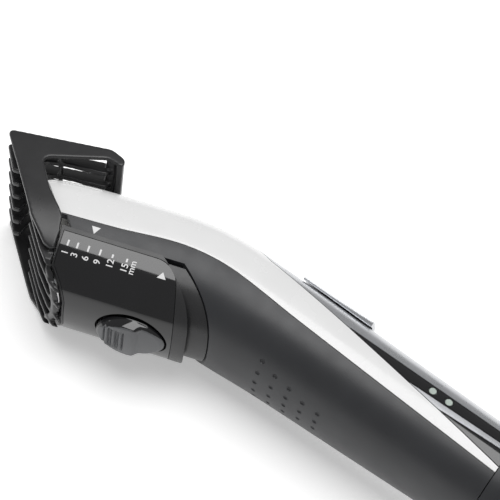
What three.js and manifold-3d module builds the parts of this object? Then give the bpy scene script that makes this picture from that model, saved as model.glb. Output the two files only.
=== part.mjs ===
// Cordless hair clipper with a sliding length comb, lying on its side.
//
// Units are millimetres and +Z is up. The clipper's mid plane is horizontal, halfway up the comb:
// +X runs along the handle to the tail and +Y is the side that carries the white shell.
// Inside this file the work is done in the design frame, whose origin is the point of the mid
// plane where the handle's and the neck's centre lines meet. Pieces of the head are built in the
// neck frame, which is the design frame turned by BEND_ANGLE, and the blades in the blade frame.

import * as THREE from 'three';
import { mergeVertices } from 'three/addons/utils/BufferGeometryUtils.js';
import Module from 'manifold-3d';

const wasm = await Module();
wasm.setup();

// ---------------------------------------------------------------- driving dimensions

const GAP = 0.3;                                     // clearance between neighbouring pieces

const BEND_ANGLE = THREE.MathUtils.degToRad(21.2);   // neck against handle
const BEND_RADIUS = 71;
const ARC_LENGTH = BEND_RADIUS * BEND_ANGLE;
const HANDLE_START = BEND_RADIUS * Math.tan(BEND_ANGLE / 2);
const SHELL_END = 100;                               // stations along the spine
const TAIL_END = 113;
const NOSE_START = -78;

// Half sizes of the body along its spine: station, top, bottom and side.
// Station 0 is where the bend ends, and the neck has negative stations.
const BODY_SECTIONS = [
  [NOSE_START, 9.5, 20.5, 21.2],
  [-75.3, 14.3, 20.6, 21.3],
  [-73.8, 16.1, 20.7, 21.4],
  [-71.8, 17.3, 20.8, 21.5],
  [-64, 18.8, 21.0, 21.8],
  [-50, 19.6, 21.3, 22.0],
  [-26, 19.5, 21.7, 22.0],
  [0, 18.3, 20.8, 21.5],
  [20, 18.0, 19.2, 20.9],
  [60, 17.0, 17.8, 19.3],
  [TAIL_END, 16.1, 15.8, 17.3],
];
const TOP_EXPONENT = 2.5;
const BOTTOM_EXPONENT = 2.15;

const UPPER_WALL = 2.6;
const LOWER_WALL = 2.2;
const INLAY_DEPTH = 1.2;                             // recess of the top inlay in the white shell
const INLAY_THICKNESS = 0.9;

// The line between the white and the graphite shell, as its offset from the spine.
const SEAM_OFFSETS = [
  [NOSE_START, -3.9], [-45, -3.4], [-26, -2.0], [0, -2.1], [24, -3.6], [TAIL_END, -7.0],
];

// Side view of the top inlay, in the design frame. Each line is a start, an end and two heights.
const LEDGE = { x0: 16, x1: 112, y0: 11.1, y1: -4.6 };
const BAND_TOP = { x0: 50, x1: 112, y0: 5.9, y1: 6.7 };
const SILVER_TOP = { x0: 70, x1: 112, y0: 1.5, y1: 2.9 };
const SILVER_BOTTOM = { x0: 80, x1: 112, y0: -0.9, y1: 0.9 };
const INLAY_FRONT_X = 4;

// Slider: a straight channel around the neck's lower half.
const SLIDER_SIDE = 22.8;
const SLIDER_BOTTOM = 27.2;
const SLIDER_TOP = 20;
const SLIDER_WALL = 2.1;
const SLIDER_TOP_V = -8.9;
const SLIDER_REAR_U = 0.9;
const SLIDER_CORNER = 15.1;                          // how far the rear edge leans to the head
const PANEL_TOP_V = -10.5;
const PANEL_REAR_U = -3.0;
const PANEL_CORNER = 9;
const PANEL_THICKNESS = 0.8;
const SLIDER_TRAVEL_IN = 6.9;                        // from the 6 mm setting to the 1 mm setting

// Comb guard, side view in the neck frame.
const COMB_HALF_WIDTH = 24;
const COMB_PLATE = 1.6;
const COMB_RIB = 1.9;
const COMB_TOOTH = 1.5;
const COMB_RIBS = 6;
const COMB_APEX = [-79.7, 22.5];
const FRONT_ANGLE = THREE.MathUtils.degToRad(55.7);   // front line against the neck's centre line

// Blades, in the blade frame: x is the depth behind the comb's front line, y runs up along it.
const BLADE_TILT = Math.PI / 2 - FRONT_ANGLE;
const BLADE_DEPTH = 7.8;
const BLADE_THICKNESS = 1.1;
const BLADE_TOP = -23.2;
const BLADE_BOTTOM = -38;
const BLADE_HALF_WIDTH = 16.2;
const MOVING_DEPTH = BLADE_DEPTH + BLADE_THICKNESS + GAP;
const MOVING_THICKNESS = 0.9;
const MOVING_BOTTOM = -33;
const FOLLOWER_DEPTH = MOVING_DEPTH + MOVING_THICKNESS + GAP;
const SCREW_Y = -36;
const SCREW_Z = 13.2;
const NOSE_DEPTH = 8.6;                              // front rim of the shells behind the front line
const CORE_DEPTH = 11.4;                             // front plane of the neck core

const BUTTON_CENTRE_U = -17.4;
const BUTTON_HALF_LENGTH = 11.6;
const BUTTON_HALF_WIDTH = 7.6;

const MOTOR_V = 5;                                   // motor axis above the neck's centre line
const MOTOR_RADIUS = 11;
const MOTOR_FRONT_U = -36;
const MOTOR_REAR_U = -9;
const PIN_OFFSET = 1.2;                              // half of the moving blade's stroke
const PIN_TIP_U = -51.2;
const LIGHT_X = [84, 90];
const LIGHT_Y = 4.1;
const CELL_RADIUS = 7;
const CELL_LENGTH = 49;
const CELL_FRONT = 26;
const CELL_REAR = CELL_FRONT + CELL_LENGTH + 1.2;

// Where the design frame's origin lies, so that the model's box is centred on Z.
const ORIGIN_X = -22.53;
const ORIGIN_Y = 10.88;

// ---------------------------------------------------------------- materials

function finish(color, roughness, metalness = 0) {
  return new THREE.MeshStandardMaterial({ color, roughness, metalness });
}

const WHITE = finish(0xf0f0f0, 0.18);
const GRAPHITE = finish(0x2f3033, 0.6);
const MATTE_BLACK = finish(0x1c1c1d, 0.45);
const GLOSS_BLACK = finish(0x070708, 0.08);
const SILVER = finish(0xb9babd, 0.3, 0.7);
const STEEL = finish(0xc9ccd0, 0.22, 1);
const BUTTON_GREY = finish(0x55575b, 0.4);
const BOARD_GREEN = finish(0x1f5a36, 0.5);
const CELL_BLUE = finish(0x3c5f8f, 0.4);
const LIGHT_CLEAR = finish(0xe8f0ea, 0.15);
const INNER_PLASTIC = finish(0xd8d8d4, 0.5);
const RED_WIRE = finish(0xa02020, 0.5);
const BLACK_WIRE = finish(0x181818, 0.5);

// ---------------------------------------------------------------- solids and booleans

function toSolid(geometry) {
  const bare = geometry.clone();
  bare.deleteAttribute('normal');
  bare.deleteAttribute('uv');
  const merged = mergeVertices(bare, 1e-4);
  const vertProperties = new Float32Array(merged.attributes.position.array);
  const triVerts = new Uint32Array(merged.index.array);
  return new wasm.Manifold(new wasm.Mesh({ numProp: 3, vertProperties, triVerts }));
}

function toGeometry(solid) {
  const mesh = solid.getMesh();
  const geometry = new THREE.BufferGeometry();
  geometry.setAttribute('position', new THREE.Float32BufferAttribute(mesh.vertProperties, 3));
  geometry.setIndex(new THREE.Uint32BufferAttribute(mesh.triVerts, 1));
  return geometry;
}

function join(...parts) {
  return toGeometry(parts.map(toSolid).reduce((sum, part) => sum.add(part)));
}

function cut(base, ...tools) {
  return toGeometry(tools.map(toSolid).reduce((rest, tool) => rest.subtract(tool), toSolid(base)));
}

function common(...parts) {
  return toGeometry(parts.map(toSolid).reduce((sum, part) => sum.intersect(part)));
}

// ---------------------------------------------------------------- body surface

// Smooth interpolation through stations [s, value, ...], for the value in the given column.
function interpolate(stations, s, column = 1) {
  const last = stations.length - 1;
  let i = 0;
  while (i < last - 1 && s > stations[i + 1][0]) i += 1;
  const [a, b] = [stations[i], stations[i + 1]];
  const slope = (p, q) => (q[column] - p[column]) / (q[0] - p[0]);
  const before = i > 0 ? slope(stations[i - 1], b) : slope(a, b);
  const after = i < last - 1 ? slope(a, stations[i + 2]) : slope(a, b);
  const width = b[0] - a[0];
  const t = THREE.MathUtils.clamp((s - a[0]) / width, 0, 1);
  const blend = 3 * t ** 2 - 2 * t ** 3;
  const bulge = (t - 2 * t ** 2 + t ** 3) * before + (t ** 3 - t ** 2) * after;
  return (1 - blend) * a[column] + blend * b[column] + width * bulge;
}

// Point and direction of the spine, in the design frame.
function spineAt(s) {
  if (s >= 0) return { x: HANDLE_START + s, y: 0, angle: 0 };
  if (s >= -ARC_LENGTH) {
    const angle = -s / BEND_RADIUS;
    const x = HANDLE_START - BEND_RADIUS * Math.sin(angle);
    return { x, y: BEND_RADIUS * (Math.cos(angle) - 1), angle };
  }
  const u = neckU(s);
  return { x: u * Math.cos(BEND_ANGLE), y: u * Math.sin(BEND_ANGLE), angle: BEND_ANGLE };
}

function neckU(s) {
  return s + ARC_LENGTH - HANDLE_START;
}

// Point of a rounded section: phi is 0 on top and 90 degrees on the +Z side.
function sectionPoint(phi, top, bottom, side) {
  const [c, s] = [Math.cos(phi), Math.sin(phi)];
  const power = 2 / (c > 0 ? TOP_EXPONENT : BOTTOM_EXPONENT);
  const height = c > 0 ? top : bottom;
  return [Math.sign(c) * Math.abs(c) ** power * height, Math.sign(s) * Math.abs(s) ** power * side];
}

function bodyPoint(s, phi, inset) {
  const [top, bottom, side] = [1, 2, 3].map((column) => interpolate(BODY_SECTIONS, s, column) - inset);
  const [v, z] = sectionPoint(phi, top, bottom, side);
  const { x, y, angle } = spineAt(s);
  return [x - v * Math.sin(angle), y + v * Math.cos(angle), z];
}

function sliderPoint(u, phi, inset) {
  const [bottom, side] = [SLIDER_BOTTOM - inset, SLIDER_SIDE - inset];
  const [v, z] = sectionPoint(phi, SLIDER_TOP, bottom, side);
  return [u, v, z];
}

// Closed slab between an outer and an inner copy of a surface patch.
// at(a, b, inset) gives a point; a and b run over the listed values.
function slab(at, aValues, bValues, outer, inner) {
  const [rows, columns] = [aValues.length, bValues.length];
  const positions = [];
  for (const inset of [outer, inner]) {
    for (const a of aValues) {
      for (const b of bValues) positions.push(...at(a, b, inset));
    }
  }
  const index = [];
  const id = (layer, i, j) => (layer * rows + i) * columns + j;
  const quad = (a, b, c, d) => index.push(a, b, c, a, c, d);
  for (let i = 0; i < rows - 1; i += 1) {
    for (let j = 0; j < columns - 1; j += 1) {
      quad(id(0, i, j), id(0, i + 1, j), id(0, i + 1, j + 1), id(0, i, j + 1));
      quad(id(1, i, j), id(1, i, j + 1), id(1, i + 1, j + 1), id(1, i + 1, j));
    }
  }
  for (let i = 0; i < rows - 1; i += 1) {
    quad(id(0, i, 0), id(1, i, 0), id(1, i + 1, 0), id(0, i + 1, 0));
    quad(id(0, i, columns - 1), id(0, i + 1, columns - 1), id(1, i + 1, columns - 1), id(1, i, columns - 1));
  }
  for (let j = 0; j < columns - 1; j += 1) {
    quad(id(0, 0, j), id(0, 0, j + 1), id(1, 0, j + 1), id(1, 0, j));
    quad(id(0, rows - 1, j), id(1, rows - 1, j), id(1, rows - 1, j + 1), id(0, rows - 1, j + 1));
  }
  const geometry = new THREE.BufferGeometry();
  geometry.setAttribute('position', new THREE.Float32BufferAttribute(positions, 3));
  geometry.setIndex(index);
  return isInsideOut(geometry) ? flipped(geometry) : geometry;
}

function isInsideOut(geometry) {
  const { array } = geometry.attributes.position;
  const corner = (k) => new THREE.Vector3().fromArray(array, 3 * geometry.index.array[k]);
  let volume = 0;
  for (let k = 0; k < geometry.index.count; k += 3) {
    volume += corner(k).dot(corner(k + 1).cross(corner(k + 2)));
  }
  return volume < 0;
}

function flipped(geometry) {
  const turned = geometry.clone();
  turned.setIndex(Array.from(geometry.index.array).reverse());
  return turned;
}

function steps(from, to, count) {
  return Array.from({ length: count + 1 }, (_, i) => from + (to - from) * i / count);
}

function degrees(from, to, count) {
  return steps(from, to, count).map(THREE.MathUtils.degToRad);
}

// ---------------------------------------------------------------- outlines

function extrude(points, z0, z1) {
  const shape = new THREE.Shape(points.map(([x, y]) => new THREE.Vector2(x, y)));
  const geometry = new THREE.ExtrudeGeometry(shape, { depth: z1 - z0, bevelEnabled: false });
  return geometry.translate(0, 0, z0);
}

function across(points) {
  return extrude(points, -40, 40);
}

function box(x0, x1, y0, y1, z0, z1) {
  const geometry = new THREE.BoxGeometry(x1 - x0, y1 - y0, z1 - z0);
  return geometry.translate((x0 + x1) / 2, (y0 + y1) / 2, (z0 + z1) / 2);
}

// Cylinder along X.
function rod(x0, x1, y, z, radius, segments = 20) {
  const geometry = new THREE.CylinderGeometry(radius, radius, x1 - x0, segments);
  return geometry.rotateZ(Math.PI / 2).translate((x0 + x1) / 2, y, z);
}

// Round every corner of a closed outline by its own radius.
function rounded(corners, segments = 4) {
  const points = [];
  corners.forEach(([x, y, radius = 0], i) => {
    const here = new THREE.Vector2(x, y);
    if (radius === 0) {
      points.push([x, y]);
      return;
    }
    const before = new THREE.Vector2(...corners.at(i - 1).slice(0, 2)).sub(here).normalize();
    const after = new THREE.Vector2(...corners[(i + 1) % corners.length].slice(0, 2)).sub(here).normalize();
    const half = Math.acos(THREE.MathUtils.clamp(before.dot(after), -1, 1)) / 2;
    const start = here.clone().addScaledVector(before, radius / Math.tan(half));
    const end = here.clone().addScaledVector(after, radius / Math.tan(half));
    const middle = before.clone().add(after).normalize();
    const centre = here.clone().addScaledVector(middle, radius / Math.sin(half));
    const a0 = start.clone().sub(centre).angle();
    let turn = end.clone().sub(centre).angle() - a0;
    if (turn > Math.PI) turn -= 2 * Math.PI;
    if (turn < -Math.PI) turn += 2 * Math.PI;
    for (let k = 0; k <= segments; k += 1) {
      const angle = a0 + turn * k / segments;
      points.push([centre.x + radius * Math.cos(angle), centre.y + radius * Math.sin(angle)]);
    }
  });
  return points;
}

function heightOn(line, x) {
  return line.y0 + (line.y1 - line.y0) * (x - line.x0) / (line.x1 - line.x0);
}

// Stations for the body's skins: close together in the bend, wide apart on the straights.
function bodyStations(from, to) {
  const nose = [-75.3, -73.8, -71.8, -68, -60, -45, -30];
  const bend = [-26, -21, -16, -11, -6, 0, 5, 12];
  const handle = [20, 30, 42, 54, 66, 80];
  return [from, ...[...nose, ...bend, ...handle].filter((s) => s > from + 2 && s < to - 2), to];
}

function bodySkin(outer, inner, from, to, phiFrom, phiTo, count) {
  return slab(bodyPoint, bodyStations(from, to), degrees(phiFrom, phiTo, count), outer, inner);
}

// ---------------------------------------------------------------- shells

// Everything on the white shell's side of the seam, moved down by drop.
function aboveSeam(drop) {
  const edge = bodyStations(NOSE_START - 4, TAIL_END + 4).map((s) => {
    const { x, y, angle } = spineAt(s);
    const v = interpolate(SEAM_OFFSETS, s) - drop;
    return [x - v * Math.sin(angle), y + v * Math.cos(angle)];
  });
  return across([...edge, [140, 60], [-110, 60]]);
}

// The space in front of a slanted plane, depth behind the comb's front line, in the neck frame.
function frontSpace(depth) {
  const lean = Math.tan(BLADE_TILT);
  const foot = COMB_APEX[0] + COMB_APEX[1] * lean + depth / Math.cos(BLADE_TILT);
  return across([[foot - 40 * lean, 40], [-130, 40], [-130, -50], [foot + 50 * lean, -50]]);
}

function inlayRegion(margin) {
  const ledge = [LEDGE.x0, LEDGE.x1 + 20].map((x) => [x, heightOn(LEDGE, x) - margin]);
  const front = INLAY_FRONT_X - margin;
  return across(rounded([[front, 16], [...ledge[0], 6], ledge[1], [132, 40], [front, 40]]));
}

function upperShell() {
  const skin = bodySkin(0, UPPER_WALL, NOSE_START, SHELL_END, -117, 117, 20);
  const recess = common(bodySkin(-2, INLAY_DEPTH, -14, SHELL_END + 2, -112, 112, 20), inlayRegion(0));
  const shell = cut(common(skin, aboveSeam(0)), frontSpace(NOSE_DEPTH).rotateZ(BEND_ANGLE), recess);
  return cut(shell, switchSlot(), ...lightHoles(1.5));
}

function switchSlot() {
  return box(34, 48, 8, 30, -3.5, 3.5);
}

function inlayPiece(upper, lower) {
  const skin = bodySkin(0, INLAY_THICKNESS, -14, SHELL_END, -110, 110, 20);
  const region = inlayRegion(-GAP);
  if (upper === null) {
    const edge = [-20, 132].map((x) => [x, heightOn(lower, x)]);
    return common(skin, region, across([...edge, [132, 60], [-20, 60]]));
  }
  const bottom = lower === null ? () => -30 : (x) => heightOn(lower, x);
  const strip = extrude([
    [-20, bottom(-20)], [132, bottom(132)],
    [132, heightOn(upper, 132) - GAP], [-20, heightOn(upper, -20) - GAP],
  ], 0.5, 40);
  return common(skin, region, strip);
}

function topPanel() {
  return cut(inlayPiece(null, BAND_TOP), switchSlot());
}

function mirrored(geometry) {
  return flipped(indexed(geometry.clone().scale(1, 1, -1)));
}

function indexed(geometry) {
  if (geometry.index) return geometry;
  const bare = geometry.clone();
  bare.deleteAttribute('normal');
  bare.deleteAttribute('uv');
  return mergeVertices(bare, 1e-4);
}

// Side view of the space that the slider moves in, cut out of the lower shell.
function sliderBay() {
  const top = SLIDER_TOP_V + 0.35;
  const edge = steps(-34, top, 8).map((v) => [sliderRear(v) + SLIDER_TRAVEL_IN + 0.9, v]);
  const notch = [[-44.7, top], [-48.4, top + 4.3], [-90, top + 4.3]];
  return across([[-90, -40], [edge[0][0], -40], ...edge, ...notch]).rotateZ(BEND_ANGLE);
}

function sliderRear(v) {
  const t = THREE.MathUtils.clamp((v + SLIDER_BOTTOM) / (SLIDER_BOTTOM + SLIDER_TOP_V), 0, 1.1);
  return SLIDER_REAR_U - SLIDER_CORNER * t ** 1.5;
}

function lowerShell() {
  const skin = bodySkin(0, LOWER_WALL, NOSE_START, SHELL_END, 84, 276, 18);
  const shell = cut(skin, aboveSeam(GAP), frontSpace(NOSE_DEPTH).rotateZ(BEND_ANGLE), sliderBay());
  return cut(shell, ...dimples());
}

// Rows of small round dimples that narrow towards the tail.
function dimples() {
  const tools = [];
  [[35, 5, 5], [40.8, 4, 5.2], [46.6, 4, 4.4], [52.4, 3, 4.6], [58.2, 3, 4.2]].forEach(([x, count, pitch]) => {
    for (let k = 0; k < count; k += 1) {
      const z = (k - (count - 1) / 2) * pitch;
      const s = x - HANDLE_START;
      const bottom = interpolate(BODY_SECTIONS, s, 2);
      const side = interpolate(BODY_SECTIONS, s, 3);
      const y = -bottom * (1 - Math.abs(z / side) ** BOTTOM_EXPONENT) ** (1 / BOTTOM_EXPONENT);
      const dimple = new THREE.CylinderGeometry(0.75, 0.75, 1.2, 8);
      tools.push(dimple.translate(x, y, z));
    }
  });
  return tools;
}

// Black core of the neck that the slider runs on, and that shows behind it.
function neckCore() {
  const inset = SLIDER_WALL + 0.5;
  const skin = slab(sliderPoint, [-62, 14], degrees(102, 258, 24), inset, inset + 2);
  const rear = SLIDER_REAR_U + SLIDER_TRAVEL_IN + 1.6;
  const top = SLIDER_TOP_V - 0.5;
  const outline = across([[-62, -40], [rear, -40], [rear - 3, top], [-62, top]]);
  return cut(common(skin, outline), frontSpace(CORE_DEPTH), pawlSlot(), lowerShellSpace());
}

// The lower shell and everything outside it, grown by the gap, in the neck frame.
function lowerShellSpace() {
  const shell = bodySkin(-12, LOWER_WALL + GAP, -44, 40, 80, 280, 24).rotateZ(-BEND_ANGLE);
  return cut(shell, sliderBay().rotateZ(-BEND_ANGLE).translate(-GAP, 0, 0));
}

function pawlSlot() {
  return box(-33.4, -1.9, -40, -10, -2.6, 2.6);
}

// ---------------------------------------------------------------- tail

function tailPoint(s, phi, inset) {
  const length = TAIL_END - SHELL_END;
  const t = THREE.MathUtils.clamp((s - SHELL_END) / length, 0, 1);
  const shrink = Math.sqrt(Math.max(0, 1 - (0.86 * t) ** 3.2));
  const [top, bottom, side] = [1, 2, 3].map((column) => {
    return (interpolate(BODY_SECTIONS, s, column) - inset) * shrink;
  });
  const [v, z] = sectionPoint(phi, top, bottom, side);
  return [HANDLE_START + s, v, z];
}

// Closed loft: rings of points around the spine, with a flat cap at each end.
function loft(at, aValues, count, inset) {
  const positions = [];
  for (const a of aValues) {
    for (let j = 0; j < count; j += 1) positions.push(...at(a, 2 * Math.PI * j / count, inset));
  }
  const rows = aValues.length;
  const index = [];
  for (let i = 0; i < rows - 1; i += 1) {
    for (let j = 0; j < count; j += 1) {
      const [a, b] = [i * count + j, i * count + (j + 1) % count];
      index.push(a, b, b + count, a, b + count, a + count);
    }
  }
  for (let j = 1; j < count - 1; j += 1) {
    index.push(0, j + 1, j, (rows - 1) * count, (rows - 1) * count + j, (rows - 1) * count + j + 1);
  }
  const geometry = new THREE.BufferGeometry();
  geometry.setAttribute('position', new THREE.Float32BufferAttribute(positions, 3));
  geometry.setIndex(index);
  return isInsideOut(geometry) ? flipped(geometry) : geometry;
}

function tailCap() {
  const start = SHELL_END + GAP;
  const stations = [0, 0.25, 0.5, 0.7, 0.85, 1].map((t) => start + t * (TAIL_END - start));
  const outer = loft(tailPoint, stations, 36, 0);
  const hollow = loft(tailPoint, [SHELL_END - 2, SHELL_END + 4, SHELL_END + 9.5], 24, 3);
  const end = HANDLE_START + TAIL_END;
  return cut(outer, hollow, rod(end - 12, end + 5, 0, 0, 3.6, 24));
}

function chargingSocket() {
  const end = HANDLE_START + TAIL_END;
  const shell = rod(end - 15, end - 4, 0, 0, 5.4, 24);
  const neck = rod(end - 6, end - 0.6, 0, 0, 3.6 - GAP, 24);
  return cut(join(shell.translate(-0.3, 0, 0), neck), rod(end - 11, end + 5, 0, 0, 2.75, 20));
}

function socketPin() {
  const end = HANDLE_START + TAIL_END;
  return rod(end - 10.7, end - 2, 0, 0, 0.8, 12);
}

// ---------------------------------------------------------------- power switch and lights

function powerSwitch() {
  const stations = steps(14.5, 42, 6);
  const saddle = slab(saddlePoint, stations, degrees(-46, 46, 14), 0, 1);
  const stem = box(38, 44, 15, 18.7, -2.6, 2.6);
  return join(saddle, stem, switchFoot());
}

// The saddle stands on the top panel and swells towards its rear end.
function saddlePoint(s, phi, layer) {
  const swell = 0.9 + 0.9 * ((s - 14.5) / 27.5) ** 2;
  return bodyPoint(s, phi, layer === 0 ? -swell - 0.45 : -0.45);
}

function switchFoot() {
  return box(39.5, 42.5, 13.2, 17, -1.6, 1.6);
}

function lightHoles(radius) {
  return LIGHT_X.map((x) => lightRod(x, radius, -2, 4));
}

// Short rod across the side wall at a charge light, from one depth to another.
function lightRod(x, radius, outer, inner) {
  const s = x - HANDLE_START;
  const side = interpolate(BODY_SECTIONS, s, 3);
  const top = interpolate(BODY_SECTIONS, s, 1);
  const z = side * (1 - (LIGHT_Y / top) ** TOP_EXPONENT) ** (1 / TOP_EXPONENT);
  const geometry = new THREE.CylinderGeometry(radius, radius, inner - outer, 12);
  return geometry.rotateX(Math.PI / 2).translate(x, LIGHT_Y, z - (inner + outer) / 2);
}

// ---------------------------------------------------------------- slider and button

const SLIDER_FRONT = [
  [-48.3, SLIDER_TOP_V], [-48.3, -9], [-47.7, -12], [-47.3, -20.6],
  [-43.6, -24.1], [-41.2, -26.6], [-41.1, -30],
];

function sliderOutline(margin) {
  const rear = steps(0, 1, 8).map((t) => {
    const v = -30 + t * (30 + SLIDER_TOP_V);
    return [sliderRear(v) - margin, v];
  });
  return across([...SLIDER_FRONT.map(([u, v]) => [u + margin, v]), ...rear]);
}

function panelOutline(margin) {
  const top = PANEL_TOP_V - margin;
  const front = SLIDER_FRONT.slice(3).map(([u, v]) => [u + 0.7 + margin, v, 0]);
  return across(rounded([
    [SLIDER_FRONT[2][0] + 0.7 + margin, top, 0], ...front, [PANEL_REAR_U - margin, -30, 0],
    [PANEL_REAR_U - 6 - margin, top, PANEL_CORNER],
  ]));
}

function sliderSkin(outer, inner) {
  return slab(sliderPoint, [-52, 4], degrees(96, 264, 30), outer, inner);
}

function buttonOval(grow, v0, v1) {
  const outline = new THREE.Shape();
  outline.absellipse(0, 0, BUTTON_HALF_LENGTH + grow, BUTTON_HALF_WIDTH + grow, 0, 2 * Math.PI);
  const options = { depth: v1 - v0, bevelEnabled: false, curveSegments: 20 };
  const geometry = new THREE.ExtrudeGeometry(outline, options);
  return geometry.rotateX(Math.PI / 2).translate(BUTTON_CENTRE_U, v1, 0);
}

function sliderFrame() {
  const body = common(sliderSkin(0, SLIDER_WALL), sliderOutline(0));
  const recess = common(sliderSkin(-2, PANEL_THICKNESS + 0.25), panelOutline(-0.2));
  return cut(body, recess, buttonOval(0.7, -40, -10));
}

function sliderPanel() {
  const skin = common(sliderSkin(0, PANEL_THICKNESS), panelOutline(0), sliderOutline(0.1));
  return cut(skin, buttonOval(0.7, -40, -10));
}

function lockButton() {
  const body = buttonOval(0, -28.6, -26.5);
  const face = new THREE.SphereGeometry(1, 24, 8, 0, 2 * Math.PI, 0, Math.PI / 2);
  const crown = closedDome(face).scale(BUTTON_HALF_LENGTH - 1.2, 2.6, BUTTON_HALF_WIDTH - 1.1).rotateX(Math.PI);
  const ridges = [-4.2, -1.4, 1.4].map((du) => {
    return box(BUTTON_CENTRE_U + du - 0.5, BUTTON_CENTRE_U + du + 0.5, -31.6, -28, -4.6, 4.6);
  });
  const pawl = box(BUTTON_CENTRE_U - 1.6, BUTTON_CENTRE_U + 1.6, -27, -20.8, -1.7, 1.7);
  return join(body, crown.translate(BUTTON_CENTRE_U, -28.5, 0), ...ridges, pawl);
}

// A half sphere closed by its flat side.
function closedDome(dome) {
  const bare = indexed(dome);
  const position = bare.attributes.position;
  const rim = [];
  for (let k = 0; k < position.count; k += 1) {
    if (Math.abs(position.getY(k)) < 1e-6) rim.push(k);
  }
  const turn = (k) => Math.atan2(position.getZ(k), position.getX(k));
  rim.sort((a, b) => turn(a) - turn(b));
  const index = Array.from(bare.index.array);
  for (let k = 1; k < rim.length - 1; k += 1) index.push(rim[0], rim[k], rim[k + 1]);
  bare.setIndex(index);
  return bare;
}

// ---------------------------------------------------------------- comb guard

const COMB_OUTLINE = [
  [...COMB_APEX, 1.5], [-45.5, 26.9, 7], [-37.8, 24.2, 2.2], [-38.2, 21.2, 0.6],
  [-44, 22.6, 4], [-64.4, 15.2, 2.5], [-57.5, 3.4, 20], [-49.2, -6.2, 8],
  [-48.0, -15, 2], [-48.4, -17.9, 1], [-52, -16.4, 3], [-59, -9.2, 8],
];
const FIN_OUTLINE = [
  [-79.5, 21.9, 1], [-45.5, 26.2, 3], [-42, 24, 1], [-44, 21.2, 1.5], [-58, 20.4, 8], [-69.8, 17.4, 3],
  [-71.0, 11.2, 0.8], [-73.6, 11.4, 1],
];
const TOOTH_OUTLINE = [
  [-62.4, -2.6, 0.35], [-60.8, -3, 0.4], [-55.5, -9.6, 6], [-50.2, -13.6, 2], [-48, -14.8], [-47.7, -20.8],
  [-44, -24.6], [-41.7, -27], [-41.9, -28.4], [-47.6, -23.6, 6], [-53.2, -16.6, 10],
];
const REAR_WALL_OUTLINE = [
  [-45.2, 26.7, 0.6], [-38.2, 24.2, 2], [-38.1, 21, 0.6],
  [-40.2, 21, 0.6], [-41.6, 23.6, 0.8], [-44.6, 23.4, 0.6],
];
const FLANGE_OUTLINE = [
  [-48.8, -9.2], [-48.1, -12], [-47.7, -20.8], [-44, -24.6], [-41.6, -27.1], [-41.5, -31],
  [-43, -31], [-43.1, -27.6], [-45.2, -25.6], [-49.3, -21.2], [-49.6, -12], [-50.2, -9.2],
];

function ribHeights() {
  const span = 2 * (COMB_HALF_WIDTH - COMB_PLATE / 2);
  return steps(1, COMB_RIBS, COMB_RIBS - 1).map((i) => span / 2 - span * i / (COMB_RIBS + 1));
}

// One plate of the given thickness at each rib.
function row(outline, thickness) {
  return ribHeights().map((z) => extrude(rounded(outline, 3), z - thickness / 2, z + thickness / 2));
}

function combGuard() {
  const outline = rounded(COMB_OUTLINE);
  const plate = common(extrude(outline, COMB_HALF_WIDTH - COMB_PLATE, COMB_HALF_WIDTH), sliderSection(-1.2));
  const arm = common(slab(sliderPoint, [-90, -36], degrees(92, 140, 10), -1.2, 0.4), extrude(outline, 0, 30));
  const side = join(plate, arm);
  const [fins, teeth] = [row(FIN_OUTLINE, COMB_RIB), row(TOOTH_OUTLINE, COMB_TOOTH)];
  const lowerTeeth = common(join(...teeth), sliderSection(-1));
  const inner = COMB_HALF_WIDTH - 0.4;
  const rearWall = extrude(rounded(REAR_WALL_OUTLINE, 3), -inner, inner);
  const bar = box(-60.4, -59.2, 20.2, 22.2, -inner, inner);
  return join(side, mirrored(side), ...fins, lowerTeeth, rearWall, bar, frontFlange());
}

// Prism along the neck with the slider's rounded section below its middle.
function sliderSection(inset) {
  const arc = degrees(90, 270, 24).map((phi) => sliderPoint(0, phi, inset)).map(([, v, z]) => [z, v]);
  return extrude([...arc, [-COMB_HALF_WIDTH, 40], [COMB_HALF_WIDTH, 40]], -90, -30).rotateY(Math.PI / 2);
}

// U-shaped wall in front of the slider: deep between the lower teeth, and flush where it meets the arms.
function frontFlange() {
  const deep = slab(sliderPoint, [-60, -36], degrees(102, 258, 20), 0.9, 2.4);
  const flush = slab(sliderPoint, [-60, -36], degrees(102, 126, 5), -1.2, 2.4);
  const width = COMB_HALF_WIDTH - 0.2;
  const ring = join(deep, flush, mirrored(flush));
  return common(ring, across(FLANGE_OUTLINE), box(-60, -30, -40, -9.2, -width, width));
}

// ---------------------------------------------------------------- blades (blade frame)

// Straight blade with teeth on its upper edge, flat in the y-z plane.
function toothedBlade(x0, x1, halfWidth, bottom, root, top, teeth) {
  const pitch = 2 * halfWidth / teeth;
  const outline = [[-halfWidth, bottom], [halfWidth, bottom]];
  for (let k = teeth - 1; k >= 0; k -= 1) {
    const left = -halfWidth + k * pitch;
    const corners = [[0.8, root], [0.62, top], [0.38, top], [0.2, root]];
    outline.push(...corners.map(([share, y]) => [left + share * pitch, y]));
  }
  return extrude(outline, 0, x1 - x0).rotateY(Math.PI / 2).translate(x0, 0, 0);
}

function fixedBlade() {
  const rear = BLADE_DEPTH + BLADE_THICKNESS;
  const plate = toothedBlade(BLADE_DEPTH, rear, BLADE_HALF_WIDTH, BLADE_BOTTOM, BLADE_TOP - 4.4, BLADE_TOP, 20);
  return cut(plate, ...screwHoles(1.2));
}

function screwHoles(radius) {
  return [-SCREW_Z, SCREW_Z].map((z) => rod(0, 20, SCREW_Y, z, radius, 10));
}

function movingBlade() {
  const rear = MOVING_DEPTH + MOVING_THICKNESS;
  return toothedBlade(MOVING_DEPTH, rear, 14.4, MOVING_BOTTOM, BLADE_TOP - 4.9, BLADE_TOP - 1, 15);
}

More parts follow.
